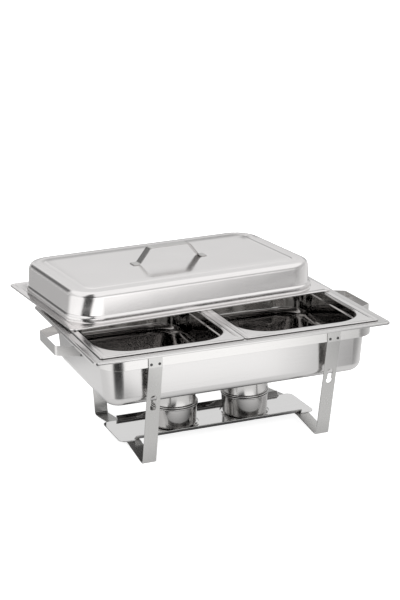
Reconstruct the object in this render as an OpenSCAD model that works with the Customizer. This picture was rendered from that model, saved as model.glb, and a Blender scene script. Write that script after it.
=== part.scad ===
// Fuel-heated chafing dish for buffet service: a strap frame, a water pan, a pair of
// half-size food pans, a domed lid laid back over the rear, and fuel holders on a shelf.
// Millimetres. +Z is up and the table is at z = 0. +X runs along the length, +Y to the back.

/* [Rail] */
// Outer length of the rail ring
rail_length = 519; // [515:0.5:522]
// Outer depth of the rail ring
rail_depth = 336; // [330:0.5:340]
// Outer corner radius of the rail ring
rail_corner = 40; // [30:1:50]
// Height of the rail strap
rail_height = 24; // [20:1:30]
// Height of the rail's top edge above the table
rail_top = 215.5; // [200:0.5:230]
// Thickness of the frame's strap
strap_t = 2; // [1.5:0.1:2.5]

/* [Legs] */
// Distance of each leg strap from the middle
leg_x = 169.5; // [150:0.5:190]
// Width of the leg strap
leg_width = 25.4; // [22:0.2:30]
// Distance of the foot's outer bend from the middle
foot_y = 130; // [120:1:140]
// Length of the flat that stands on the table
foot_flat = 9; // [6:0.5:12]
// Height of the cross piece's top face
cross_top = 12.5; // [9:0.5:16]
// Depth of the cross piece's flat middle
cross_flat = 106; // [100:1:120]
// Height of the middle of the keyhole slots
keyhole_z = 122; // [90:1:140]
// Full height of a keyhole slot
keyhole_height = 29; // [24:1:36]
// Diameter of the keyhole's round ends
keyhole_head = 11.5; // [9:0.5:13]
// Width of the keyhole's narrow waist
keyhole_slot = 8; // [6:0.5:8.5]
// Distance between the rivets of a leg
rivet_pitch = 15; // [12:0.5:17]
// Height of the leg rivets above the table
rivet_z = 197; // [196:0.5:208]
// Shank diameter of a leg rivet
rivet_d = 4; // [3:0.1:5]

/* [Side handles] */
// Distance of the grip's outer face from the middle
grip_reach = 308.8; // [295:0.2:320]
// Length of the grip's outer face
grip_length = 94; // [80:1:110]
// Spacing of the handle's arms where they meet the rail
arm_spacing = 146; // [120:1:170]
// Height of the handle's strap
grip_height = 18; // [14:1:22]
// Length of the tab welded to the rail
grip_tab = 20; // [12:1:24]

/* [Water pan] */
// Length over the flange
water_length = 561.2; // [555:0.2:565]
// Depth over the flange, front to back
water_depth = 356.2; // [352:0.2:360]
// Depth of the pan below the rail
water_deep = 100; // [90:1:110]
// Thickness of the drawn sheet
sheet_t = 1; // [0.8:0.1:1.2]

/* [Food pans] */
// Width of a food pan over its flange
food_width = 265; // [263:0.5:265.5]
// Length of a food pan over its flange, front to back
food_length = 325; // [320:0.5:330]
// Depth of a food pan
food_deep = 65; // [40:1:65]

/* [Lid] */
// Length over the lid's flange
lid_length = 538; // [525:0.5:540]
// Width over the lid's flange, front to back
lid_width = 330; // [320:0.5:335]
// Height of the dome above the flange
dome_height = 53.5; // [45:0.5:70]
// Sideways place of the lid's middle
lid_x = -9.5; // [-20:0.5:20]
// Distance of the lid's middle behind the frame's middle
lid_y = 176; // [150:1:180]
// Turn of the lid on the pans
lid_yaw = 4.2; // [0:0.1:6]

/* [Lid handle] */
// Length of the handle's top bar
bar_length = 82; // [70:1:100]
// Distance between the lower bends
bend_spacing = 128; // [115:1:132]
// Length over the tabs
tab_spread = 155; // [152:1:180]
// Rise of the bar above the lid
bar_rise = 30.5; // [26:0.5:38]
// Width of the handle's strap
bar_width = 20; // [16:1:26]

/* [Burner shelf] */
// Length of the shelf
shelf_length = 389; // [380:1:400]
// Width over the lips
shelf_width = 108; // [100:1:112]
// Length of the lips
lip_length = 332; // [300:1:340]
// Width of the tongues beyond the lips
tongue_width = 104; // [92:1:108]
// Rise of the lips
lip_rise = 8.5; // [6:0.5:12]

/* [Fuel holders] */
// Distance between the holders' axes
holder_spacing = 144; // [130:1:160]
// Outer diameter of the cup
cup_d = 85; // [83:0.5:86]
// Height of the cup
cup_height = 42; // [38:1:46]
// Outer diameter of the cup's rim
rim_d = 91; // [89:0.5:94]
// Height of the cover above the rim
cover_height = 23; // [18:1:26]
// Diameter of the flame opening
flame_d = 56; // [40:1:58]

/* [Hidden] */
$fn = 64;
clear = 0.3;
corner_steps = 6;
bend_steps = 4;
thin = 0.8;
foot_bend = 5;
edge_break = 0.4;

// The origin is under the middle of the whole object's box, whose back is the lid's flange.
lid_corner = 12;
lid_back_y = lid_y + lid_corner + (lid_width / 2 - lid_corner) * cos(lid_yaw)
    + (lid_length / 2 - lid_corner) * sin(lid_yaw);
front_y = -water_depth / 2;
shift_y = -(front_y + lid_back_y) / 2;

hem = 5;
water_top = rail_top + sheet_t;
food_hem = 1.8;
food_top = water_top + 0.2 + food_hem;
lid_hem = 2.7;
lid_flange_top = food_top + clear + lid_hem;
dome_top = lid_flange_top + dome_height;
panel_rise = 1;
bar_t = 1.6;

shelf_t = 1.2;
shelf_z = cross_top + 0.2;
tongue_corner = 12;
ring_r = 46;
ring_w = 2.4;
rim_h = 3.4;
cup_z = shelf_z + shelf_t + clear;
rim_z = cup_z + cup_height;
cover_z = rim_z + clear;
cover_r = cup_d / 2 - thin - 0.7;
cover_top = cover_z + rim_h + cover_height;
regulator_t = 1;
pivot_r = 2;
pivot_x = (flame_d / 2 + cover_r) / 2;
can_r = cover_r - 2.2;
can_height = 48;
can_z = cup_z + thin + clear;

// ---- Paths and ribbons: a bent strap is its centre line given a thickness ----

function unit(v) = v / norm(v);

function reversed(list) = [for (i = [len(list) - 1:-1:0]) list[i]];

function mirrored(path) = [for (p = reversed(path)) [-p.x, p.y]];

// The turn from angle a to angle b by the shorter way
function short_turn(a, b) = (b - a + 540) % 360 - 180;

// Points that round the bend at b with radius r
function bend(a, b, c, r) =
    let (
        u = unit(a - b),
        w = unit(c - b),
        half = acos(u * w) / 2,
        centre = b + unit(u + w) * r / sin(half),
        from = b + u * r / tan(half) - centre,
        to = b + w * r / tan(half) - centre,
        start = atan2(from.y, from.x),
        turn = short_turn(start, atan2(to.y, to.x))
    )
    [for (i = [0:bend_steps])
        let (angle = start + turn * i / bend_steps) centre + r * [cos(angle), sin(angle)]];

// A path with every inner corner rounded
function rounded(path, r) = [
    path[0],
    for (i = [1:len(path) - 2]) each bend(path[i - 1], path[i], path[i + 1], r),
    path[len(path) - 1]
];

// A path moved sideways by d, with mitred corners
function beside(path, d) = [
    for (i = [0:len(path) - 1])
        let (
            before = i > 0 ? unit(path[i] - path[i - 1]) : unit(path[1] - path[0]),
            after = i < len(path) - 1 ? unit(path[i + 1] - path[i]) : before,
            middle = unit(before + after)
        )
        path[i] + [-middle.y, middle.x] * d / (middle * before)
];

module ribbon(path, thickness) {
    polygon(concat(beside(path, thickness / 2), reversed(beside(path, -thickness / 2))));
}

// ---- Drawn sheet shells: rings of rounded rectangles joined into one closed skin ----

function rect_ring(hx, hy, r, z) = [
    for (q = [0:3], i = [0:corner_steps])
        let (
            angle = 90 * (q + i / corner_steps),
            sx = q == 0 || q == 3 ? 1 : -1,
            sy = q < 2 ? 1 : -1
        )
        [sx * (hx - r) + r * cos(angle), sy * (hy - r) + r * sin(angle), z]
];

module loft(rings) {
    n = len(rings[0]);
    last = len(rings) - 1;
    sides = [
        for (k = [0:last - 1], i = [0:n - 1])
            let (a = k * n + i, b = k * n + (i + 1) % n, c = b + n, d = a + n)
            each [[a, c, b], [a, d, c]]
    ];
    start_cap = [for (i = [0:n - 1]) i];
    end_cap = [for (i = [n - 1:-1:0]) last * n + i];
    polyhedron(
        points = [for (ring = rings) each ring],
        faces = concat(sides, [start_cap, end_cap]),
        convexity = 6
    );
}

// One skin of a drawn wall as [outward, height] pairs, from the bottom's edge to the lip.
// depth is the whole draw, edge the bottom's radius, step the stacking shoulder's width,
// step_drop its distance below the flange, and inner the skin's distance inside the outer one.
function skin(depth, draft, edge, lip, step, step_drop, inner) =
    let (
        e = edge - inner,
        lip_z = depth - sheet_t - lip,
        low_z = step > 0 ? depth - step_drop : lip_z,
        low_u = -step - inner,
        centre_u = low_u - (low_z - inner - e) * tan(draft) - e / cos(draft)
    )
    [
        for (i = [0:bend_steps])
            let (angle = (90 - draft) * i / bend_steps)
            [centre_u + e * sin(angle), inner + e - e * cos(angle)],
        if (step > 0) [low_u, low_z],
        if (step > 0) [-inner, low_z + step],
        for (i = [0:bend_steps])
            let (angle = 90 * i / bend_steps)
            [lip - (lip + inner) * cos(angle), lip_z + (lip + inner) * sin(angle)]
    ];

// A drawn sheet pan that stands on z = 0. wall is the half size and corner radius of its
// outer skin below the lip, and flange those of its hemmed flange. A positive hem is turned
// back beside the wall, a negative one over the mouth. panel lowers the bottom's middle.
module drawn_pan(wall, flange, depth, draft, edge, lip, hem, step, step_drop, panel) {
    ring = function (p) rect_ring(
        wall.x + p[0], wall.y + p[0], max(wall.z + p[0], 2), p[1]
    );
    rim = function (inset, z) rect_ring(flange.x - inset, flange.y - inset, flange.z - inset, z);
    outer = skin(depth, draft, edge, lip, step, step_drop, 0);
    inner = skin(depth, draft, edge, lip, step, step_drop, sheet_t);
    panel_at = function (start, drop, sink) [start[0] - drop, start[1] - sink];
    loft(concat(
        panel > 0 ? [
            ring(panel_at(outer[0], 22, panel)),
            ring(panel_at(outer[0], 18, 0))
        ] : [],
        [for (p = outer) ring(p)],
        hem > 0 ? [
            rim(sheet_t, depth - sheet_t),
            rim(sheet_t, depth - hem),
            rim(0, depth - hem),
            rim(0, depth - edge_break),
            rim(edge_break, depth)
        ] : [
            rim(edge_break, depth - sheet_t),
            rim(0, depth - sheet_t + edge_break),
            rim(0, depth - sheet_t - hem),
            rim(sheet_t, depth - sheet_t - hem),
            rim(sheet_t, depth)
        ],
        [for (p = reversed(inner)) ring(p)],
        panel > 0 ? [
            ring(panel_at(inner[0], 18, 0)),
            ring(panel_at(inner[0], 22, panel))
        ] : []
    ));
}

// ---- Placing ----

module placed(x = 0, y = 0, z = 0) {
    translate([x, y + shift_y, z]) children();
}

// Turns an outline drawn in [depth, height] so that it stands across the length
module across(width) {
    rotate([90, 0, 90]) linear_extrude(width, center = true) children();
}

module rounded_rect(length, width, r) {
    square([length - 2 * r, width], center = true);
    square([length, width - 2 * r], center = true);
    for (sx = [-1, 1], sy = [-1, 1])
        translate([sx * (length / 2 - r), sy * (width / 2 - r)]) circle(r);
}

module rivet_holes() {
    for (x = [-1, 1], side = [-1, 1])
        translate([side * leg_x + x * rivet_pitch / 2, 0, rivet_z])
            rotate([90, 0, 0]) cylinder(d = rivet_d + 0.1, h = rail_depth + 20, center = true);
}

// ---- Frame ----

module frame_rail() {
    color("silver") placed(z = rail_top - rail_height) difference() {
        linear_extrude(rail_height) difference() {
            rounded_rect(rail_length, rail_depth, rail_corner);
            rounded_rect(
                rail_length - 2 * strap_t, rail_depth - 2 * strap_t, rail_corner - strap_t
            );
        }
        translate([0, 0, rail_height - rail_top]) rivet_holes();
    }
}

module keyhole() {
    low = keyhole_z - keyhole_height / 2;
    high = keyhole_z + keyhole_height / 2;
    rotate([90, 0, 0]) linear_extrude(rail_depth, center = true) {
        for (z = [low + keyhole_head / 2, high - keyhole_head / 2])
            translate([0, z]) circle(d = keyhole_head);
        translate([0, keyhole_z])
            square([keyhole_slot, keyhole_height - keyhole_head], center = true);
    }
}

module leg_strap(side) {
    top_y = rail_depth / 2 + strap_t / 2;
    front = [
        [-top_y, rail_top - 2],
        [-top_y, rail_top - rail_height],
        [-foot_y, strap_t / 2],
        [foot_flat - foot_y, strap_t / 2],
        [-cross_flat / 2, cross_top - strap_t / 2]
    ];
    color("silver") placed() difference() {
        translate([side * leg_x, 0, 0]) across(leg_width)
            ribbon(rounded(concat(front, mirrored(front)), foot_bend), strap_t);
        translate([side * leg_x, 0, 0]) keyhole();
        rivet_holes();
    }
}

// A rivet along +Z with its grip between the heads from 0 to grip
module rivet(grip, d, head_d, head_h) {
    rotate_extrude() polygon([
        [0, -head_h],
        [head_d * 0.3, -head_h],
        [head_d / 2, 0],
        [d / 2, 0],
        [d / 2, grip],
        [head_d / 2, grip],
        [head_d * 0.3, grip + head_h],
        [0, grip + head_h]
    ]);
}

module leg_rivets() {
    grip = 2 * strap_t;
    color("dimgray") placed()
        for (front = [-1, 1], side = [-1, 1], x = [-1, 1])
            translate([
                side * leg_x + x * rivet_pitch / 2,
                front * (rail_depth / 2 - strap_t),
                rivet_z
            ])
                rotate([front > 0 ? -90 : 90, 0, 0]) rivet(grip, rivet_d, 5.4, 0.9);
}

module side_handle(side) {
    rail_x = rail_length / 2 + strap_t / 2;
    grip_x = grip_reach - strap_t / 2;
    half = [
        [arm_spacing / 2 - grip_tab, rail_x],
        [arm_spacing / 2, rail_x],
        [grip_length / 2, grip_x]
    ];
    path = concat(mirrored(reversed(half)), reversed(half));
    color("silver") placed(z = rail_top - rail_height + 1)
        scale([side, 1, 1]) rotate(90) mirror([0, 1, 0])
            linear_extrude(grip_height) ribbon(rounded(path, 6), strap_t);
}

// ---- Pans and lid ----

module water_pan() {
    color("lightgray") placed(z = water_top - water_deep) drawn_pan(
        wall = [254.4, 153, 36],
        flange = [water_length / 2, water_depth / 2, 8],
        depth = water_deep, draft = 4.5, edge = 20, lip = 2.2, hem = hem,
        step = 0, step_drop = 0, panel = 0
    );
}

module food_pan(side) {
    width = food_width - 2 * clear;
    color("gray") placed(x = side * food_width / 2, z = food_top - food_deep) drawn_pan(
        wall = [width / 2 - 13.6, food_length / 2 - 16.5, 61],
        flange = [width / 2, food_length / 2, 6],
        depth = food_deep, draft = 4, edge = 14, lip = 3, hem = food_hem,
        step = 2.4, step_drop = 17, panel = 0
    );
}

module lid_shell() {
    color("gainsboro") placed(lid_x, lid_y, dome_top) rotate(lid_yaw) mirror([0, 0, 1])
        drawn_pan(
            wall = [lid_length / 2 - 15, lid_width / 2 - 15, 58],
            flange = [lid_length / 2, lid_width / 2, lid_corner],
            depth = dome_height + sheet_t, draft = 2.5, edge = 11, lip = 2, hem = -lid_hem,
            step = 4, step_drop = 13, panel = panel_rise
        );
}

module lid_handle() {
    half = [
        [-tab_spread / 2, 0],
        [-bend_spacing / 2, 0],
        [-bar_length / 2, bar_rise - bar_t]
    ];
    color("white") placed(lid_x, lid_y, dome_top + panel_rise + bar_t / 2)
        rotate(lid_yaw) rotate([90, 0, 0]) linear_extrude(bar_width, center = true)
            ribbon(rounded(concat(half, mirrored(half)), 9), bar_t);
}

// ---- Burner shelf ----

module burner_shelf() {
    flat_half = shelf_width / 2 - lip_rise;
    lip = [[-shelf_width / 2, lip_rise], [-flat_half, 0]];
    color("silver") placed(z = shelf_z) {
        translate([0, 0, shelf_t / 2]) across(lip_length)
            ribbon(rounded(concat(lip, mirrored(lip)), 2), shelf_t);
        linear_extrude(shelf_t) {
            square([shelf_length - 2 * tongue_corner, 2 * flat_half - 2], center = true);
            difference() {
                rounded_rect(shelf_length, tongue_width, tongue_corner);
                square([lip_length + 2, shelf_width + 2], center = true);
            }
        }
        for (side = [-1, 1])
            translate([side * holder_spacing / 2, 0, shelf_t - 0.1]) difference() {
                cylinder(r = ring_r, h = 1.3);
                translate([0, 0, -1]) cylinder(r = ring_r - ring_w, h = 4);
            }
    }
}

// ---- Fuel holders ----

module at_holder(side, z) {
    placed(x = side * holder_spacing / 2, z = z) children();
}

function arc(cx, cy, r, start, end) = [
    for (i = [0:bend_steps])
        let (angle = start + (end - start) * i / bend_steps)
        [cx + r * cos(angle), cy + r * sin(angle)]
];

module fuel_cup(side) {
    r = cup_d / 2;
    foot = 7;
    color("silver") at_holder(side, cup_z) rotate_extrude() polygon(concat(
        [[0, 0]],
        arc(r - foot, foot, foot, -90, 0),
        [[r, cup_height - rim_h], [rim_d / 2, cup_height - rim_h], [rim_d / 2, cup_height]],
        [[r - thin, cup_height]],
        arc(r - foot, foot, foot - thin, 0, -90),
        [[0, thin]]
    ));
}

module fuel_cover(side) {
    spigot = 8;
    top = rim_h + cover_height;
    color("silver") at_holder(side, cover_z) difference() {
        rotate_extrude() polygon(concat(
            [
                [cover_r - thin, -spigot],
                [cover_r, -spigot],
                [cover_r, 0],
                [rim_d / 2, 0],
                [rim_d / 2, rim_h],
                [cover_r, rim_h]
            ],
            arc(cover_r - 3, top - 3, 3, 0, 90),
            [[flame_d / 2, top], [flame_d / 2, top - thin]],
            arc(cover_r - 3, top - 3, 3 - thin, 90, 0)
        ));
        translate([pivot_x, 0, top - 3]) cylinder(r = pivot_r + 0.05, h = 6);
    }
}

// The disc closes the flame opening and swings clear of it about the pivot
module flame_regulator(side) {
    disc_r = flame_d / 2 + 2.5;
    color("lightgray") at_holder(side, cover_top + clear) difference() {
        union() {
            cylinder(r = disc_r, h = regulator_t);
            translate([pivot_x, 0, 0]) cylinder(r = 6, h = regulator_t);
            translate([-disc_r - 10, -5, 0]) cube([14, 10, regulator_t]);
            translate([-disc_r - 10, -5, 0]) cube([1, 10, 3.5]);
        }
        translate([pivot_x, 0, -1]) cylinder(r = pivot_r + 0.07, h = 4);
    }
}

module regulator_pivot(side) {
    grip = thin + regulator_t + 2 * clear;
    color("dimgray") at_holder(side, cover_top - thin) translate([pivot_x, 0, 0])
        rivet(grip, 2 * pivot_r, 7, 1);
}

module fuel_can(side) {
    mouth_r = 22;
    skin_t = 0.5;
    seam = 0.8;
    side_r = can_r - seam;
    color("goldenrod") at_holder(side, can_z) rotate_extrude() polygon([
        [0, 1],
        [can_r - 6, 1],
        [can_r - 6, 0],
        [can_r - 3, 0],
        [side_r, 3],
        [side_r, can_height - 3.5],
        [can_r, can_height - 3],
        [can_r, can_height],
        [can_r - 2, can_height],
        [can_r - 2, can_height - 2],
        [mouth_r, can_height - 2],
        [mouth_r, can_height - 2 - skin_t],
        [side_r - skin_t, can_height - 2 - skin_t],
        [side_r - skin_t, 3.2],
        [can_r - 4, 1 + skin_t],
        [0, 1 + skin_t]
    ]);
}

module fuel_gel(side) {
    gel_r = can_r - 4.5;
    color("lightblue") at_holder(side, can_z + 1.8)
        cylinder(r = gel_r, h = can_height - 14);
}

frame_rail();
leg_strap(-1);  // leg_strap_left
leg_strap(1);  // leg_strap_right
leg_rivets();
side_handle(-1);  // handle_left
side_handle(1);  // handle_right
water_pan();
food_pan(-1);  // food_pan_left
food_pan(1);  // food_pan_right
lid_shell();
lid_handle();
burner_shelf();
fuel_cup(-1);  // fuel_cup_left
fuel_cup(1);  // fuel_cup_right
fuel_can(-1);  // fuel_can_left
fuel_can(1);  // fuel_can_right
fuel_gel(-1);  // fuel_gel_left
fuel_gel(1);  // fuel_gel_right
fuel_cover(-1);  // fuel_cover_left
fuel_cover(1);  // fuel_cover_right
flame_regulator(-1);  // flame_regulator_left
flame_regulator(1);  // flame_regulator_right
regulator_pivot(-1);  // regulator_pivot_left
regulator_pivot(1);  // regulator_pivot_right
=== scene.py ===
# The looks of a chafing dish for buffet service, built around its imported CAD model.
# Sizes are in metres, in the CAD model's own frame.
import math

import bmesh
import bpy
from mathutils import Matrix, Vector


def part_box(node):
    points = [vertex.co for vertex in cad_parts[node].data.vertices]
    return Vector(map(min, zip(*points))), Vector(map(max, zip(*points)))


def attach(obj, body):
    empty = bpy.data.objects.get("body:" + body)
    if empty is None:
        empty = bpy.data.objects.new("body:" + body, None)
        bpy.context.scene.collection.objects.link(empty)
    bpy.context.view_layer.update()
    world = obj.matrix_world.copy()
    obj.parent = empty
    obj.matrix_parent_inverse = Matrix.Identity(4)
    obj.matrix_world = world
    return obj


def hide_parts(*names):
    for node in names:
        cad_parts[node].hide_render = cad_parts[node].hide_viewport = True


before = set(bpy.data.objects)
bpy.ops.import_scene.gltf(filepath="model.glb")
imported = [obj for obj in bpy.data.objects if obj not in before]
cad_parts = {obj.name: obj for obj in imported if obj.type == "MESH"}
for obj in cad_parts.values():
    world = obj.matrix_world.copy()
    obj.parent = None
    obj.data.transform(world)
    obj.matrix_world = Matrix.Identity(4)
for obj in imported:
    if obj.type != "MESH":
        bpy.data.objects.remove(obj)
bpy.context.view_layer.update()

MM = 0.001
SHEET = 1.0 * MM
SIDES = {"left": -1, "right": 1}
ROUND_STEPS = 8
SHOULDER_STEPS = 6

# ---------------------------------------------------------------- places, from the CAD


def centre_of(node):
    low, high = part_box(node)
    return (low + high) / 2


def size_of(node):
    low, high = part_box(node)
    return high - low


RAIL_LOW, RAIL_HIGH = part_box("frame_rail")
MIDDLE = Vector((centre_of("frame_rail").x, centre_of("frame_rail").y, 0))
LID_YAW = math.radians(4.2)

# ---------------------------------------------------------------- camera, floor and lights

CAMERA_PLACE = MIDDLE + Vector((-0.9614, -2.2814, 0.9964))
CAMERA_AZIMUTH = math.radians(-22.48)
CAMERA_ELEVATION = math.radians(16.94)
CAMERA_ROLL = math.radians(-0.41)
CAMERA_LENS = 84.94
SENSOR = 36.0
NEAREST = 0.05
FARTHEST = 50


def make_camera():
    data = bpy.data.cameras.new("camera")
    data.lens = CAMERA_LENS
    data.sensor_width = SENSOR
    data.clip_start = NEAREST
    data.clip_end = FARTHEST
    camera = bpy.data.objects.new("camera", data)
    bpy.context.scene.collection.objects.link(camera)
    back = Vector((
        math.sin(CAMERA_AZIMUTH) * math.cos(CAMERA_ELEVATION),
        -math.cos(CAMERA_AZIMUTH) * math.cos(CAMERA_ELEVATION),
        math.sin(CAMERA_ELEVATION),
    ))
    turn = back.to_track_quat("Z", "Y").to_matrix().to_4x4()
    roll = Matrix.Rotation(CAMERA_ROLL, 4, "Z")
    camera.matrix_world = Matrix.Translation(CAMERA_PLACE) @ turn @ roll
    bpy.context.scene.camera = camera


def node_tools(tree):
    """Short helpers that add a node and join two sockets in this node tree."""
    def add(kind, **settings):
        node = tree.nodes.new(kind)
        for key, value in settings.items():
            setattr(node, key, value)
        return node

    def join(source, target):
        tree.links.new(source, target)

    return add, join


def direction_of(tree, source):
    """The azimuth of a vector as 0 to 1, where 0.5 is the front and the right side follows."""
    add, join = node_tools(tree)
    turn = add("ShaderNodeMapping")
    turn.inputs["Rotation"].default_value = (0, 0, math.pi / 2)
    join(source, turn.inputs["Vector"])
    around = add("ShaderNodeTexGradient", gradient_type="RADIAL")
    join(turn.outputs["Vector"], around.inputs["Vector"])
    return around.outputs["Fac"]


def grey_ramp(tree, source, levels):
    """A ramp of greys. levels lists (position, level) pairs in rising order."""
    add, join = node_tools(tree)
    ramp = add("ShaderNodeValToRGB")
    stops = ramp.color_ramp.elements
    while len(stops) > 1:
        stops.remove(stops[0])
    for k, (position, level) in enumerate(levels):
        stop = stops.new(position) if k else stops[0]
        stop.position = position
        stop.color = (level, level, level, 1)
    join(source, ramp.inputs["Fac"])
    return ramp.outputs["Color"]


def azimuths(*levels):
    """Pairs of (degrees right of the front, level) as ramp positions."""
    return [(0.5 + degrees / 360, level) for degrees, level in levels]


STUDIO_LIGHT = 1.35


def low_levels(tree, source):
    """The studio near the horizon and below: pale at the left, a dark gap at the front left,
    a white sweep in front, and dimmer at the right and behind."""
    return grey_ramp(tree, direction_of(tree, source), azimuths(
        (-180, 0.60), (-162, 0.36), (-124, 0.36), (-106, 0.78), (-56, 0.85), (-50, 0.02),
        (-20, 0.02), (-14, 1.0), (25, 1.0), (46, 0.26), (80, 0.48), (120, 0.60), (145, 0.20),
        (165, 0.30), (180, 0.60),
    ))


def make_world():
    """The room: grey walls and a pale ceiling, with a dark gap at the front left and a dark
    strip behind."""
    world = bpy.data.worlds.new("studio")
    bpy.context.scene.world = world
    world.use_nodes = True
    tree = world.node_tree
    tree.nodes.clear()
    add, join = node_tools(tree)
    place = add("ShaderNodeTexCoord").outputs["Generated"]
    split = add("ShaderNodeSeparateXYZ")
    join(place, split.inputs[0])
    sides = grey_ramp(tree, direction_of(tree, place), azimuths(
        (-180, 0.50), (-168, 0.10), (-154, 0.10), (-140, 0.50), (-66, 0.70), (-56, 0.05),
        (-14, 0.05), (-6, 0.50), (20, 0.55), (48, 0.35), (105, 0.45), (140, 0.60), (180, 0.60),
    ))
    overhead = grey_ramp(tree, direction_of(tree, place), azimuths(
        (-180, 0.78), (-58, 0.78), (-50, 0.08), (-18, 0.08), (-10, 0.78), (180, 0.78),
    ))
    raised = grey_ramp(tree, split.outputs["Z"], (
        (0.0, 0.0), (0.16, 0.0), (0.24, 1.0), (1.0, 1.0),
    ))
    above = grey_ramp(tree, split.outputs["Z"], (
        (0.0, 0.0), (0.50, 0.0), (0.62, 1.0), (1.0, 1.0),
    ))
    walls = add("ShaderNodeMix", data_type="RGBA")
    join(raised, walls.inputs["Factor"])
    join(low_levels(tree, place), walls.inputs["A"])
    join(sides, walls.inputs["B"])
    level = add("ShaderNodeMix", data_type="RGBA")
    join(above, level.inputs["Factor"])
    join(walls.outputs["Result"], level.inputs["A"])
    join(overhead, level.inputs["B"])
    background = add("ShaderNodeBackground")
    background.inputs["Strength"].default_value = STUDIO_LIGHT
    join(level.outputs["Result"], background.inputs["Color"])
    output = add("ShaderNodeOutputWorld")
    join(background.outputs[0], output.inputs["Surface"])


def glow(name):
    """A material that only shines, with its node tree and its emission node."""
    material = bpy.data.materials.new(name)
    material.use_nodes = True
    tree = material.node_tree
    tree.nodes.clear()
    add, join = node_tools(tree)
    shine = add("ShaderNodeEmission")
    join(shine.outputs[0], add("ShaderNodeOutputMaterial").inputs["Surface"])
    material.cycles.emission_sampling = "NONE"
    return material, tree, shine


def make_room_floor():
    """The floor as the metals see it: a painted shadow under the dish, brighter round it, and
    farther out as the studio near the horizon. The camera doesn't see it."""
    outer, steps = 14.0, 72
    shade_middle = (0, -0.08, 0)
    shade_stretch = (1.0, 1.7, 1.0)
    points = [(outer * math.sin(a), -outer * math.cos(a), 0)
              for a in [math.tau * k / steps for k in range(steps)]]
    mesh = bpy.data.meshes.new("room_floor")
    mesh.from_pydata(points, [], [tuple(range(steps))])
    material, tree, shine = glow("room_floor")
    add, join = node_tools(tree)
    place = add("ShaderNodeTexCoord").outputs["Object"]
    under = add("ShaderNodeMapping")
    under.inputs["Location"].default_value = shade_middle
    under.inputs["Scale"].default_value = shade_stretch
    join(place, under.inputs["Vector"])
    length = add("ShaderNodeVectorMath", operation="LENGTH")
    join(under.outputs["Vector"], length.inputs[0])
    # A painted shadow under the dish: darkest in the middle, lighter outwards.
    near = grey_ramp(tree, length.outputs["Value"], (
        (0.0, 0.03), (0.20, 0.06), (0.32, 0.50), (0.42, 0.66),
    ))
    beyond = grey_ramp(tree, length.outputs["Value"], ((0.0, 0.0), (0.60, 0.0), (0.80, 1.0)))
    level = add("ShaderNodeMix", data_type="RGBA")
    join(beyond, level.inputs["Factor"])
    join(near, level.inputs["A"])
    join(low_levels(tree, place), level.inputs["B"])
    shine.inputs["Strength"].default_value = STUDIO_LIGHT
    join(level.outputs["Result"], shine.inputs["Color"])
    mesh.materials.append(material)
    room = bpy.data.objects.new("room_floor", mesh)
    bpy.context.scene.collection.objects.link(room)
    room.location = MIDDLE + Vector((0, 0, MM))
    room.visible_camera = False
    room.visible_diffuse = False
    room.visible_shadow = False


def make_floor():
    size = 30.0
    mesh = bpy.data.meshes.new("floor")
    corners = [(-size, -size, 0), (size, -size, 0), (size, size, 0), (-size, size, 0)]
    mesh.from_pydata(corners, [], [(0, 1, 2, 3)])
    floor = bpy.data.objects.new("floor", mesh)
    bpy.context.scene.collection.objects.link(floor)
    material = bpy.data.materials.new("pale_floor")
    material.use_nodes = True
    shader = material.node_tree.nodes["Principled BSDF"]
    shader.inputs["Base Color"].default_value = (0.8, 0.8, 0.8, 1)
    shader.inputs["Roughness"].default_value = 0.9
    shader.inputs["Specular IOR Level"].default_value = 0.1
    shader.inputs["Emission Color"].default_value = (1, 1, 1, 1)
    shader.inputs["Emission Strength"].default_value = 0.85
    material.cycles.emission_sampling = "NONE"
    mesh.materials.append(material)


# ---------------------------------------------------------------- metals

ALONG_X = (12, 900, 900)
ALONG_Z = (900, 900, 14)
AROUND = (14, 14, 1400)
EVEN = (60, 60, 60)
FINE = (300, 300, 300)
GRAIN_BUMP = 0.0004
SMUDGE_SCALE = 9.0
WAVE_SCALE = 14.0
LEAST_ROUGHNESS = 0.02


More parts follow.
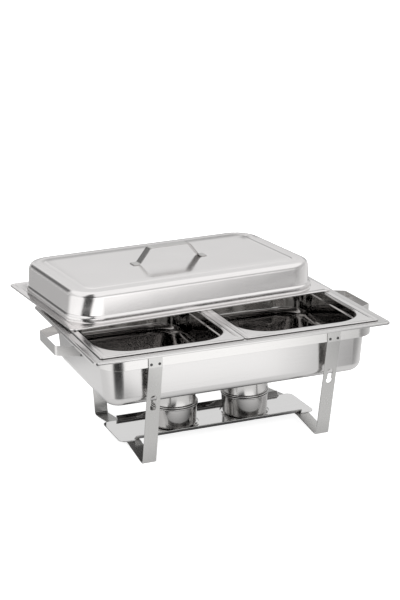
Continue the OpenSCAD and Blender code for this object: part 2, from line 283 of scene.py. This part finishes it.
def steel(name, colour, roughness, grain, spread=0.03, wave_bump=0.0, tint=0.02,
          grain_bump=GRAIN_BUMP):
    """A metal with brush lines along the axes whose grain is smallest, slow waves in the
    sheet, and faint smudges that vary its gloss. The bumps are in millimetres."""
    material = bpy.data.materials.new(name)
    material.use_nodes = True
    tree = material.node_tree
    shader = tree.nodes["Principled BSDF"]
    add, join = node_tools(tree)
    shader.inputs["Metallic"].default_value = 1.0
    place = add("ShaderNodeTexCoord")

    stretch = add("ShaderNodeMapping")
    stretch.inputs["Scale"].default_value = grain
    join(place.outputs["Object"], stretch.inputs["Vector"])
    lines = add("ShaderNodeTexNoise")
    lines.inputs["Scale"].default_value = 1.0
    lines.inputs["Detail"].default_value = 4.0
    lines.inputs["Roughness"].default_value = 0.6
    join(stretch.outputs["Vector"], lines.inputs["Vector"])

    smudge = add("ShaderNodeTexNoise")
    smudge.inputs["Scale"].default_value = SMUDGE_SCALE
    smudge.inputs["Detail"].default_value = 3.0
    join(place.outputs["Object"], smudge.inputs["Vector"])

    mixed = add("ShaderNodeMath", operation="MULTIPLY_ADD")
    join(lines.outputs["Fac"], mixed.inputs[0])
    mixed.inputs[1].default_value = 0.7
    join(smudge.outputs["Fac"], mixed.inputs[2])
    gloss = add("ShaderNodeMapRange")
    gloss.inputs["From Min"].default_value = 0.5
    gloss.inputs["From Max"].default_value = 1.2
    gloss.inputs["To Min"].default_value = max(roughness - spread, LEAST_ROUGHNESS)
    gloss.inputs["To Max"].default_value = roughness + spread
    join(mixed.outputs[0], gloss.inputs["Value"])
    join(gloss.outputs["Result"], shader.inputs["Roughness"])

    shade = add("ShaderNodeMapRange")
    shade.inputs["From Min"].default_value = 0.3
    shade.inputs["From Max"].default_value = 0.7
    shade.inputs["To Min"].default_value = 1.0 - tint
    shade.inputs["To Max"].default_value = 1.0 + tint
    join(lines.outputs["Fac"], shade.inputs["Value"])
    colours = add("ShaderNodeMix", data_type="RGBA", blend_type="MULTIPLY")
    colours.inputs["Factor"].default_value = 1.0
    colours.inputs["A"].default_value = (*colour, 1)
    join(shade.outputs["Result"], colours.inputs["B"])
    join(colours.outputs["Result"], shader.inputs["Base Color"])

    bump = add("ShaderNodeBump")
    bump.inputs["Strength"].default_value = 1.0
    bump.inputs["Distance"].default_value = grain_bump * MM
    join(lines.outputs["Fac"], bump.inputs["Height"])
    join(bump.outputs["Normal"], shader.inputs["Normal"])
    if wave_bump > 0:
        waves = add("ShaderNodeTexNoise")
        waves.inputs["Scale"].default_value = WAVE_SCALE
        waves.inputs["Detail"].default_value = 1.0
        join(place.outputs["Object"], waves.inputs["Vector"])
        slow = add("ShaderNodeBump")
        slow.inputs["Distance"].default_value = wave_bump * MM
        join(waves.outputs["Fac"], slow.inputs["Height"])
        join(slow.outputs["Normal"], bump.inputs["Normal"])
    return material


METALS = {
    "lid": steel("lid_steel", (0.84, 0.82, 0.815), 0.17, ALONG_X, wave_bump=0.25),
    "satin": steel("satin_steel", (0.65, 0.64, 0.635), 0.20, ALONG_X, wave_bump=0.25),
    # a darker copy of the pan steel: painted shade for the food pans below their flanges
    "painted_shade_well": steel("well_steel_painted_shade", (0.48, 0.47, 0.46), 0.09, EVEN, wave_bump=0.35),
    "pan": steel("pan_steel", (0.76, 0.745, 0.74), 0.14, EVEN, wave_bump=0.35),
    "strap": steel("strap_steel", (0.55, 0.545, 0.535), 0.26, ALONG_Z, wave_bump=0.1),
    "rail": steel("rail_steel", (0.70, 0.69, 0.68), 0.22, AROUND, wave_bump=0.1),
    "grip": steel("grip_steel", (0.60, 0.59, 0.58), 0.24, ALONG_X, wave_bump=0.1, tint=0.03),
    "shelf": steel("shelf_steel", (0.78, 0.775, 0.77), 0.08, ALONG_X, spread=0.02,
                   wave_bump=0.2, grain_bump=0.0003),
    "cup": steel("cup_steel", (0.62, 0.61, 0.60), 0.15, AROUND, wave_bump=0.05, tint=0.03),
    "rivet": steel("rivet_steel", (0.10, 0.10, 0.10), 0.35, FINE, spread=0.08, tint=0.03,
                   grain_bump=0.01),
    # near black: painted shade for the creases at the fuel holders' beads
    "seam": steel("seam_dark", (0.05, 0.05, 0.05), 0.40, FINE, spread=0.08, tint=0.03,
                  grain_bump=0.01),
    # a darker copy of the satin steel: painted shade for the water pan's bottom
    "painted_shade_underside": steel("underside_steel_painted_shade", (0.30, 0.295, 0.29), 0.25, EVEN, spread=0.05, tint=0.03),
    "tin": steel("tinplate", (0.66, 0.62, 0.52), 0.25, AROUND, spread=0.06, tint=0.03,
                 grain_bump=0.003),
    "gel": steel("fuel_gel", (0.45, 0.55, 0.66), 0.3, EVEN, spread=0.05, tint=0.03),
}

# ---------------------------------------------------------------- mesh building


def make_piece(name, points, faces, metal):
    """A smooth mesh object, its normals outward, with its metal."""
    mesh = bpy.data.meshes.new(name)
    mesh.from_pydata([tuple(p) for p in points], [], faces)
    build = bmesh.new()
    build.from_mesh(mesh)
    bmesh.ops.remove_doubles(build, verts=build.verts, dist=1e-7)
    bmesh.ops.recalc_face_normals(build, faces=build.faces)
    for face in build.faces:
        face.smooth = True
    build.to_mesh(mesh)
    build.free()
    mesh.materials.append(METALS[metal])
    obj = bpy.data.objects.new(name, mesh)
    bpy.context.scene.collection.objects.link(obj)
    return obj


def settle(obj):
    """Turns the object's modifiers into its own mesh."""
    bpy.context.view_layer.update()
    graph = bpy.context.evaluated_depsgraph_get()
    mesh = bpy.data.meshes.new_from_object(obj.evaluated_get(graph))
    obj.modifiers.clear()
    obj.data = mesh
    return obj


def soften(obj, width, segments=2, angle=50):
    """Breaks the sharp edges with a small radius and keeps the flats flat."""
    bevel = obj.modifiers.new("edges", "BEVEL")
    bevel.width = width
    bevel.segments = segments
    bevel.limit_method = "ANGLE"
    bevel.angle_limit = math.radians(angle)
    flats = obj.modifiers.new("flats", "WEIGHTED_NORMAL")
    flats.keep_sharp = True
    return settle(obj)


def keep_flats(obj):
    obj.modifiers.new("flats", "WEIGHTED_NORMAL")
    return settle(obj)


def cut(obj, *cutters):
    for cutter in cutters:
        tool = obj.modifiers.new("cut", "BOOLEAN")
        tool.operation = "DIFFERENCE"
        tool.solver = "EXACT"
        tool.object = cutter
    settle(obj)
    for cutter in cutters:
        bpy.data.objects.remove(cutter)
    return obj


def rounded_rect(half_x, half_y, radius, z, steps=14, straight=6):
    """A ring round a rectangle with round corners, with points along its sides too."""
    ring = []
    for quarter in range(4):
        sx = 1 if quarter in (0, 3) else -1
        sy = 1 if quarter < 2 else -1
        corner = Vector((sx * (half_x - radius), sy * (half_y - radius), z))
        for step in range(steps + 1):
            angle = math.radians(90 * (quarter + step / steps))
            ring.append(corner + radius * Vector((math.cos(angle), math.sin(angle), 0)))
        following = (quarter + 1) % 4
        nx = 1 if following in (0, 3) else -1
        ny = 1 if following < 2 else -1
        first = math.radians(90 * following)
        to = Vector((nx * (half_x - radius), ny * (half_y - radius), z))
        to += radius * Vector((math.cos(first), math.sin(first), 0))
        last = ring[-1]
        ring.extend(last.lerp(to, k / straight) for k in range(1, straight))
    return ring


def loft(name, rings, metal, closed=False):
    """Joins rings of equal length. An open row of rings is capped at both ends."""
    count = len(rings[0])
    points = [p for ring in rings for p in ring]
    pairs = len(rings) if closed else len(rings) - 1
    faces = []
    for k in range(pairs):
        low, high = k * count, (k + 1) % len(rings) * count
        for i in range(count):
            j = (i + 1) % count
            faces.append((low + i, low + j, high + j, high + i))
    if not closed:
        faces.append(tuple(range(count)))
        faces.append(tuple(range(len(points) - count, len(points))))
    return make_piece(name, points, faces, metal)


def arc(cx, cy, radius, start, end, steps=8):
    """Points of an arc, in degrees, as (x, y) pairs."""
    turns = [math.radians(start + (end - start) * k / steps) for k in range(steps + 1)]
    return [(cx + radius * math.cos(t), cy + radius * math.sin(t)) for t in turns]


def lathe(name, profile, metal, steps=96):
    """Turns a closed outline of (radius, height) pairs about Z. It may touch the axis."""
    rings = []
    for radius, height in profile:
        angles = [math.tau * k / steps for k in range(steps)]
        rings.append([
            Vector((radius * math.cos(a), radius * math.sin(a), height)) for a in angles
        ])
    closed = profile[0][0] > 0
    if closed:
        return loft(name, rings, metal, closed=True)
    points = [p for ring in rings[1:-1] for p in ring]
    first, last = len(points), len(points) + 1
    points += [Vector((0, 0, profile[0][1])), Vector((0, 0, profile[-1][1]))]
    faces = []
    for k in range(len(rings) - 3):
        for i in range(steps):
            j = (i + 1) % steps
            low, high = k * steps, (k + 1) * steps
            faces.append((low + i, low + j, high + j, high + i))
    top = (len(rings) - 3) * steps
    for i in range(steps):
        j = (i + 1) % steps
        faces.append((first, j, i))
        faces.append((last, top + i, top + j))
    return make_piece(name, points, faces, metal)


def bend(a, b, c, radius, steps=8):
    """Points that round the corner at b of the path a, b, c."""
    a, b, c = Vector(a), Vector(b), Vector(c)
    back, on = (a - b).normalized(), (c - b).normalized()
    half = back.angle(on) / 2
    centre = b + (back + on).normalized() * radius / math.sin(half)
    start = b + back * radius / math.tan(half) - centre
    end = b + on * radius / math.tan(half) - centre
    turn = start.angle_signed(end)
    points = []
    for k in range(steps + 1):
        swing = Matrix.Rotation(-turn * k / steps, 2)
        points.append(centre + swing @ start)
    return points


def rounded_path(path, radius):
    points = [Vector(path[0])]
    for k in range(1, len(path) - 1):
        points += bend(path[k - 1], path[k], path[k + 1], radius)
    points.append(Vector(path[-1]))
    return points


def mirrored(path):
    return [(-x, y) for x, y in reversed(path)]


def strap(name, path, thickness, low, high, place, metal):
    """A bent strap: its centre line in 2-D, and its width from low to high along the third
    axis. place(a, b, w) puts a point of the path at width w in space."""
    points = []
    for k, here in enumerate(path):
        before = (here - path[k - 1]).normalized() if k else (path[1] - here).normalized()
        after = (path[k + 1] - here).normalized() if k < len(path) - 1 else before
        middle = (before + after).normalized()
        side = Vector((-middle.y, middle.x)) / middle.dot(before) * thickness / 2
        for w, s in ((low, 1), (high, 1), (high, -1), (low, -1)):
            points.append(place(*(here + side * s), w))
    faces = []
    for k in range(len(path) - 1):
        for i in range(4):
            j = (i + 1) % 4
            faces.append((4 * k + i, 4 * k + j, 4 * k + 4 + j, 4 * k + 4 + i))
    faces += [(0, 1, 2, 3), tuple(range(len(points) - 4, len(points)))]
    return make_piece(name, points, faces, metal)


def shift(obj, offset):
    obj.data.transform(Matrix.Translation(Vector(offset)))
    return obj


def use_metal(obj, metal, low, high):
    """Gives the faces whose middles lie between two heights another metal."""
    obj.data.materials.append(METALS[metal])
    last = len(obj.data.materials) - 1
    for face in obj.data.polygons:
        if low < face.center.z < high:
            face.material_index = last


def finish_piece(obj, body, slot, *nodes):
    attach(obj, body)
    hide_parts(*nodes)
    return obj


# ---------------------------------------------------------------- the frame

STRAP = 2.0 * MM
STRAP_EDGE = 0.45 * MM


def build_rail():
    half_x = (RAIL_HIGH.x - RAIL_LOW.x) / 2
    half_y = (RAIL_HIGH.y - RAIL_LOW.y) / 2
    corner = 40 * MM
    edge = 0.5 * MM
    section = (
        arc(edge, RAIL_LOW.z + edge, edge, 270, 180, 3)
        + arc(edge, RAIL_HIGH.z - edge, edge, 180, 90, 3)
        + arc(STRAP - edge, RAIL_HIGH.z - edge, edge, 90, 0, 3)
        + arc(STRAP - edge, RAIL_LOW.z + edge, edge, 0, -90, 3)
    )
    rings = [
        rounded_rect(half_x - inset, half_y - inset, corner - inset, z, 18)
        for inset, z in section
    ]
    rail = loft("frame_rail_strap", rings, "rail", closed=True)
    shift(rail, MIDDLE)
    keep_flats(rail)
    finish_piece(rail, "frame", "frame_steel", "frame_rail")


def keyhole_cutter(x, z_low, z_high, waist, head):
    radius = head / 2
    angle = math.degrees(math.asin(waist / head))
    outline = (
        arc(0, z_high - radius, radius, angle - 90, 270 - angle, 24)
        + arc(0, z_low + radius, radius, 90 + angle, 450 - angle, 24)
    )
    deep = 0.4
    points = [Vector((x + a, MIDDLE.y + y, b)) for y in (-deep, deep) for a, b in outline]
    count = len(outline)
    faces = [tuple(range(count)), tuple(range(count, 2 * count))]
    faces += [(i, (i + 1) % count, count + (i + 1) % count, count + i) for i in range(count)]
    return make_piece("keyhole_cutter", points, faces, "strap")


def build_leg(side_name):
    node = f"leg_strap_{side_name}"
    low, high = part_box(node)
    x = (low.x + high.x) / 2
    width = high.x - low.x
    top_y = (high.y - low.y - STRAP) / 2
    foot_y, foot_flat, cross_top, cross_half = 130 * MM, 9 * MM, 12.5 * MM, 53 * MM
    foot_bend = 5 * MM
    keyhole_low, keyhole_high = 107.5 * MM, 136.5 * MM
    keyhole_waist, keyhole_head = 8 * MM, 11.5 * MM
    front = [
        (-top_y, high.z),
        (-top_y, RAIL_LOW.z),
        (-foot_y, STRAP / 2),
        (foot_flat - foot_y, STRAP / 2),
        (-cross_half, cross_top - STRAP / 2),
    ]
    path = rounded_path(front + mirrored(front), foot_bend)
    leg = strap(
        f"leg_{side_name}", path, STRAP, -width / 2, width / 2,
        lambda a, b, w: Vector((x + w, MIDDLE.y + a, b)), "strap",
    )
    cut(leg, keyhole_cutter(x, keyhole_low, keyhole_high, keyhole_waist, keyhole_head))
    soften(leg, STRAP_EDGE)
    finish_piece(leg, "frame", "frame_steel", node)


def rivet_profile(grip, shank, head, height):
    dome = [(head * math.cos(a), height * math.sin(a)) for a in
            [math.radians(90 * k / 5) for k in range(6)]]
    low = [(r, -h) for r, h in reversed(dome)]
    high = [(r, grip + h) for r, h in dome]
    return low + [(shank, 0), (shank, grip)] + high


def build_leg_rivets():
    low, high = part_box("leg_rivets")
    z = (low.z + high.z) / 2
    pitch, shank, head, height = 15 * MM, 2 * MM, 2.6 * MM, 0.85 * MM
    grip = 2 * STRAP
    face = (RAIL_HIGH.y - RAIL_LOW.y) / 2 - STRAP
    rivets = []
    for leg in SIDES:
        for front in (-1, 1):
            for along in (-0.5, 0.5):
                rivet = lathe("rivet", rivet_profile(grip, shank, head, height), "rivet", 24)
                turn = Matrix.Rotation(math.radians(-90 * front), 4, "X")
                x = centre_of(f"leg_strap_{leg}").x + along * pitch
                place = Matrix.Translation(Vector((x, MIDDLE.y + front * face, z)))
                rivet.data.transform(place @ turn)
                rivets.append(rivet)
    finish_piece(join_pieces("leg_rivet_set", rivets), "frame", "rivet_steel", "leg_rivets")


def join_pieces(name, objects):
    """Several objects made into one, with the metal of the first."""
    build = bmesh.new()
    for obj in objects:
        build.from_mesh(obj.data)
    mesh = bpy.data.meshes.new(name)
    build.to_mesh(mesh)
    build.free()
    mesh.materials.append(objects[0].data.materials[0])
    for obj in objects:
        bpy.data.objects.remove(obj)
    joined = bpy.data.objects.new(name, mesh)
    bpy.context.scene.collection.objects.link(joined)
    return joined


def build_handle(side_name):
    node = f"handle_{side_name}"
    sign = SIDES[side_name]
    low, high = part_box(node)
    reach = max(abs(low.x), abs(high.x)) - STRAP / 2
    root = min(abs(low.x), abs(high.x)) + STRAP / 2
    arm_half, grip_half, tab, corner = 73 * MM, 47 * MM, 20 * MM, 6 * MM
    half = [(arm_half - tab, root), (arm_half, root), (grip_half, reach)]
    path = rounded_path(half + [(-a, b) for a, b in reversed(half)], corner)
    handle = strap(
        f"side_handle_{side_name}", path, STRAP, low.z, high.z,
        lambda a, b, w: Vector((sign * b, MIDDLE.y + a, w)), "rail",
    )
    soften(handle, STRAP_EDGE)
    finish_piece(handle, "frame", "frame_steel", node)


# ---------------------------------------------------------------- drawn pans and the lid


def skin(depth, draft, edge, lip, step, step_drop, inner):
    """One skin of a drawn wall as (outward, height) pairs, from the bottom to the lip."""
    radius = edge - inner
    lip_z = depth - SHEET - lip
    low_z = depth - step_drop if step else lip_z
    low_u = -step - inner
    centre_u = low_u - (low_z - inner - radius) * math.tan(draft) - radius / math.cos(draft)
    points = []
    for k in range(ROUND_STEPS + 1):
        angle = (math.pi / 2 - draft) * k / ROUND_STEPS
        points.append((
            centre_u + radius * math.sin(angle), inner + radius - radius * math.cos(angle)
        ))
    if step:
        rise = 1.2 * step
        for k in range(SHOULDER_STEPS + 1):
            ease = (1 - math.cos(math.pi * k / SHOULDER_STEPS)) / 2
            points.append((low_u + step * ease, low_z + rise * k / SHOULDER_STEPS))
    for k in range(ROUND_STEPS + 1):
        angle = math.pi / 2 * k / ROUND_STEPS
        points.append((
            lip - (lip + inner) * math.cos(angle), lip_z + (lip + inner) * math.sin(angle)
        ))
    return points


def drawn_shell(name, wall, flange, depth, draft, edge, lip, step, step_drop, rim, panel,
                metal, dimple=None):
    """A sheet drawn into a pan that stands on z = 0. wall and flange are half sizes and corner
    radius; rim lists the flange's edge as (inset, drop) pairs, from the under side to the top;
    panel lists the bottom's relief as (inset, sink) pairs, from the middle out."""
    def ring(u, z):
        radius = max(wall[2] + u, 2 * MM)
        return rounded_rect(wall[0] + u, wall[1] + u, radius, z)

    def rim_ring(inset, z):
        radius = max(flange[2] - inset, 0.3 * MM)
        return rounded_rect(flange[0] - inset, flange[1] - inset, radius, z)

    outer = skin(depth, draft, edge, lip, step, step_drop, 0)
    inner = skin(depth, draft, edge, lip, step, step_drop, SHEET)
    rings = [ring(outer[0][0] - inset, outer[0][1] - sink) for inset, sink in panel]
    rings += [ring(u, z) for u, z in outer]
    rings += [rim_ring(inset, depth - drop) for inset, drop in rim]
    rings += [ring(u, z) for u, z in reversed(inner)]
    rings += [ring(inner[0][0] - inset, inner[0][1] - sink) for inset, sink in reversed(panel)]
    if dimple:
        for one in rings:
            for p in one:
                press_corner(p, flange, depth, *dimple)
    shell = loft(name, rings, metal)
    return keep_flats(shell)


def press_corner(p, flange, depth, inset, radius, sink):
    """Moves a point on a flange's top by the small dimple at the flange's nearest corner."""
    reach = 2.2
    away = math.hypot(
        abs(p.x) - (flange[0] - inset), abs(p.y) - (flange[1] - inset)
    ) / radius
    if away < reach and p.z > depth - 1.5 * SHEET:
        p.z -= sink * math.exp(-away * away)


def rolled_hem(radius, drop, steps=8):
    """A flange edge folded down: under side, bottom, then outside and over the top."""
    outside = [(radius - radius * math.cos(t), radius - radius * math.sin(t))
               for t in [math.pi / 2 * k / steps for k in range(steps + 1)]]
    return [(SHEET, SHEET + 0.4 * MM), (SHEET, drop), (0.2 * MM, drop)] + outside


def build_water_pan():
    size = size_of("water_pan")
    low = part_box("water_pan")[0]
    bead = [(11 * MM, SHEET), (3.2 * MM, SHEET)]
    rim = bead + rolled_hem(2.4 * MM, 5 * MM)
    rim += [(4.2 * MM, 0), (5.2 * MM, 0.5 * MM), (6.4 * MM, 0.8 * MM), (12 * MM, 0.8 * MM)]
    pan = drawn_shell(
        "water_pan_shell", wall=(254.4 * MM, 153 * MM, 36 * MM),
        flange=(size.x / 2, size.y / 2, 8 * MM), depth=size.z, draft=math.radians(4.5),
        edge=20 * MM, lip=2.2 * MM, step=0, step_drop=0, rim=rim, panel=[], metal="satin",
    )
    # The pan's bottom faces get a darker copy of its steel: painted shade under the pan.
    use_metal(pan, "painted_shade_underside", -SHEET, SHEET / 2)
    shift(pan, MIDDLE + Vector((0, 0, low.z)))
    finish_piece(pan, "water_pan", "satin_steel", "water_pan")


def build_food_pan(side_name):
    node = f"food_pan_{side_name}"
    size = size_of(node)
    low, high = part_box(node)
    middle = (low + high) / 2
    rim = [(14 * MM, SHEET), (10 * MM, SHEET), (6 * MM, SHEET), (2 * MM, SHEET)]
    rim += rolled_hem(1.2 * MM, 1.8 * MM)
    rim += [(inset * MM, 0) for inset in (2, 3, 4, 5, 6, 7, 8, 9, 10, 12)]
    pan = drawn_shell(
        f"{node}_shell", wall=(size.x / 2 - 13.6 * MM, size.y / 2 - 16.5 * MM, 61 * MM),
        flange=(size.x / 2, size.y / 2, 6 * MM), depth=size.z, draft=math.radians(4),
        edge=14 * MM, lip=3 * MM, step=2.4 * MM, step_drop=17 * MM, rim=rim, panel=[],
        metal="pan", dimple=(6.5 * MM, 2.2 * MM, 1.0 * MM),
    )
    # The pan below its flange, inside and out, gets a darker copy of its steel: painted shade in
    # the pan.
    use_metal(pan, "painted_shade_well", -SHEET, size.z - 3 * SHEET)
    shift(pan, Vector((middle.x, middle.y, low.z)))
    finish_piece(pan, node, "pan_steel", node)


LID_HALF = (269 * MM, 165 * MM)
LID_HEM = 2.7 * MM
LID_PANEL = 1.0 * MM


def on_lid(z):
    middle = centre_of("lid_shell")
    place = Matrix.Translation(Vector((middle.x, middle.y, z)))
    return place @ Matrix.Rotation(LID_YAW, 4, "Z")


def build_lid():
    low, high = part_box("lid_shell")
    depth = high.z - low.z - LID_HEM + SHEET - LID_PANEL
    radius = 1.3 * MM
    over = [(radius - radius * math.cos(t), SHEET - radius + radius * math.sin(t))
            for t in [math.pi / 2 * (1 - k / ROUND_STEPS) for k in range(ROUND_STEPS + 1)]]
    rim = [(inset * MM, SHEET) for inset in (13, 12, 11, 10, 9, 8, 7, 6, 5, 4, 3)]
    rim += [(inset, drop) for inset, drop in over]
    rim += [(0, SHEET - LID_HEM + 0.3 * MM), (0.3 * MM, SHEET - LID_HEM),
            (SHEET, SHEET - LID_HEM), (SHEET, 0)]
    rim += [(inset * MM, 0) for inset in (4, 5, 6, 7, 8, 9, 10, 11, 12)]
    relief = [(40 * MM, LID_PANEL), (24 * MM, LID_PANEL), (22.5 * MM, 0.85 * LID_PANEL),
              (20 * MM, 0.15 * LID_PANEL), (18.5 * MM, 0), (8 * MM, 0)]
    lid = drawn_shell(
        "lid_dome", wall=(LID_HALF[0] - 15 * MM, LID_HALF[1] - 15 * MM, 58 * MM),
        flange=(LID_HALF[0], LID_HALF[1], 12 * MM), depth=depth, draft=math.radians(2.5),
        edge=11 * MM, lip=2 * MM, step=4 * MM, step_drop=13 * MM, rim=rim, panel=relief,
        metal="lid", dimple=(9 * MM, 2.2 * MM, -0.8 * MM),
    )
    lid.data.transform(on_lid(high.z - LID_PANEL) @ Matrix.Scale(-1, 4, Vector((0, 0, 1))))
    lid.data.flip_normals()
    finish_piece(lid, "lid", "satin_steel", "lid_shell")


def build_lid_handle():
    low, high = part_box("lid_handle")
    thick, width = 1.6 * MM, 20 * MM
    rise = high.z - low.z - thick
    tab_half, bend_half, bar_half, corner = 77.5 * MM, 64 * MM, 41 * MM, 9 * MM
    half = [(-tab_half, 0), (-bend_half, 0), (-bar_half, rise)]
    path = rounded_path(half + mirrored(half), corner)
    handle = strap(
        "lid_grip", path, thick, -width / 2, width / 2,
        lambda a, b, w: Vector((a, w, b)), "grip",
    )
    soften(handle, 0.5 * MM, 3)
    handle.data.transform(on_lid(low.z + thick / 2))
    finish_piece(handle, "lid", "mirror_steel", "lid_handle")


# ---------------------------------------------------------------- shelf and fuel holders


def build_shelf():
    low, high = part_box("burner_shelf")
    thick = 1.2 * MM
    lip_rise = 8.5 * MM
    half_y = (high.y - low.y) / 2
    fold = half_y - lip_rise
    lip_half = 166 * MM
    tongue_corner, tongue_half = 12 * MM, 52 * MM
    ring_middle, ring_half, ring_rise = 45 * MM, 1.6 * MM, 1.2 * MM
    ring_reach = 2.5
    fold_ease = 2.0 * MM
    column_step, corner_step, end_gap = 1.25 * MM, 0.4 * MM, 0.01 * MM
    rows = 88
    cups = [centre_of(f"fuel_cup_{s}") for s in SIDES]

    def half_width(x):
        if abs(x) <= lip_half:
            return half_y
        gap = min(x - low.x, high.x - x)
        if gap >= tongue_corner:
            return tongue_half
        return tongue_half - tongue_corner + math.sqrt(
            max(tongue_corner ** 2 - (tongue_corner - gap) ** 2, 0)
        )

    def height(x, y):
        lip = max(abs(y) - fold, 0) if abs(x) <= lip_half else 0
        rise = lip if lip > fold_ease else lip * lip / fold_ease
        bump = 0
        for cup in cups:
            away = abs(math.hypot(x - cup.x, y) - ring_middle) / ring_half
            if away < ring_reach:
                bump = ring_rise * math.exp(-away * away)
        return rise * lip_rise / (half_y - fold) + bump

    columns = []
    x = low.x
    while x < high.x:
        columns.append(x)
        x += corner_step if min(x - low.x, high.x - x) < tongue_corner else column_step
    columns.append(high.x)
    for end in (-lip_half, lip_half):
        columns += [end - end_gap, end + end_gap]
    columns.sort()
    points, faces = [], []
    for x in columns:
        reach = half_width(x)
        for k in range(rows + 1):
            y = reach * (2 * k / rows - 1)
            points.append(Vector((x, MIDDLE.y + y, low.z + thick + height(x, y))))
    for c in range(len(columns) - 1):
        for k in range(rows):
            a = c * (rows + 1) + k
            faces.append((a, a + rows + 1, a + rows + 2, a + 1))
    shelf = make_piece("shelf_plate", points, faces, "shelf")
    solid = shelf.modifiers.new("sheet", "SOLIDIFY")
    solid.thickness = thick
    solid.offset = -1
    keep_flats(shelf)
    finish_piece(shelf, "shelf", "shelf_steel", "burner_shelf")


BEAD = 1.7 * MM
# the height of the painted shade bands at the beads
CREASE_SHADE_BAND = 0.6 * MM


def build_cup(side_name):
    node = f"fuel_cup_{side_name}"
    low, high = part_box(node)
    middle = (low + high) / 2
    tall = high.z - low.z
    rim = (high.x - low.x) / 2
    r, foot, wall = 42.5 * MM, 7 * MM, 0.8 * MM
    profile = [(0, 0), (r - foot - 4 * MM, 0)]
    profile += arc(r - foot, foot, foot, -90, 0)
    profile += arc(rim - BEAD, tall - BEAD, BEAD, -90, 90)
    profile += [(r - wall, tall - wall)]
    profile += arc(r - foot, foot, foot - wall, 0, -90)
    profile += [(0, wall)]
    cup = lathe(f"{node}_body", profile, "cup")
    # Dark bands painted at the top of the bead, where the cover sits, and just under the bead:
    # painted shade in the creases.
    use_metal(cup, "seam", tall - CREASE_SHADE_BAND, tall)
    use_metal(cup, "seam", tall - 2 * BEAD - CREASE_SHADE_BAND, tall - 2 * BEAD + CREASE_SHADE_BAND)
    shift(cup, Vector((middle.x, middle.y, low.z)))
    keep_flats(cup)
    finish_piece(cup, node, "burner_steel", node)


def build_cover(side_name):
    node = f"fuel_cover_{side_name}"
    low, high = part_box(node)
    middle = (low + high) / 2
    rim = (high.x - low.x) / 2
    wall, spigot, flame = 0.8 * MM, 8 * MM, 28 * MM
    r = 41 * MM
    top = high.z - low.z
    shoulder = 3 * MM
    profile = [(r - wall, 0), (r, 0), (r, spigot)]
    profile += arc(rim - BEAD, spigot + BEAD, BEAD, -90, 90)
    profile += [(r, spigot + 2 * BEAD)]
    profile += arc(r - shoulder, top - shoulder, shoulder, 0, 90)
    profile += arc(flame + wall / 2, top - wall / 2, wall / 2, 90, 270, 6)
    profile += arc(r - shoulder, top - shoulder, shoulder - wall, 90, 0)
    cover = lathe(f"{node}_body", profile, "cup")
    # A dark band painted at the bottom of the bead, against the cup: painted shade in the crease.
    use_metal(cover, "seam", spigot, spigot + CREASE_SHADE_BAND)
    shift(cover, Vector((middle.x, middle.y, low.z)))
    keep_flats(cover)
    finish_piece(cover, node, "burner_steel", node)


# ---------------------------------------------------------------- everything

make_camera()
make_world()
make_floor()
make_room_floor()
build_rail()
for side in SIDES:
    build_leg(side)
    build_handle(side)
    build_food_pan(side)
    build_cup(side)
    build_cover(side)
    for node, metal in (
        (f"flame_regulator_{side}", "cup"), (f"regulator_pivot_{side}", "rivet"),
        (f"fuel_can_{side}", "tin"), (f"fuel_gel_{side}", "gel"),
    ):
        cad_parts[node].data.materials.clear()
        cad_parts[node].data.materials.append(METALS[metal])
build_leg_rivets()
build_water_pan()
build_lid()
build_lid_handle()
build_shelf()
bpy.context.scene.view_settings.view_transform = "Standard"
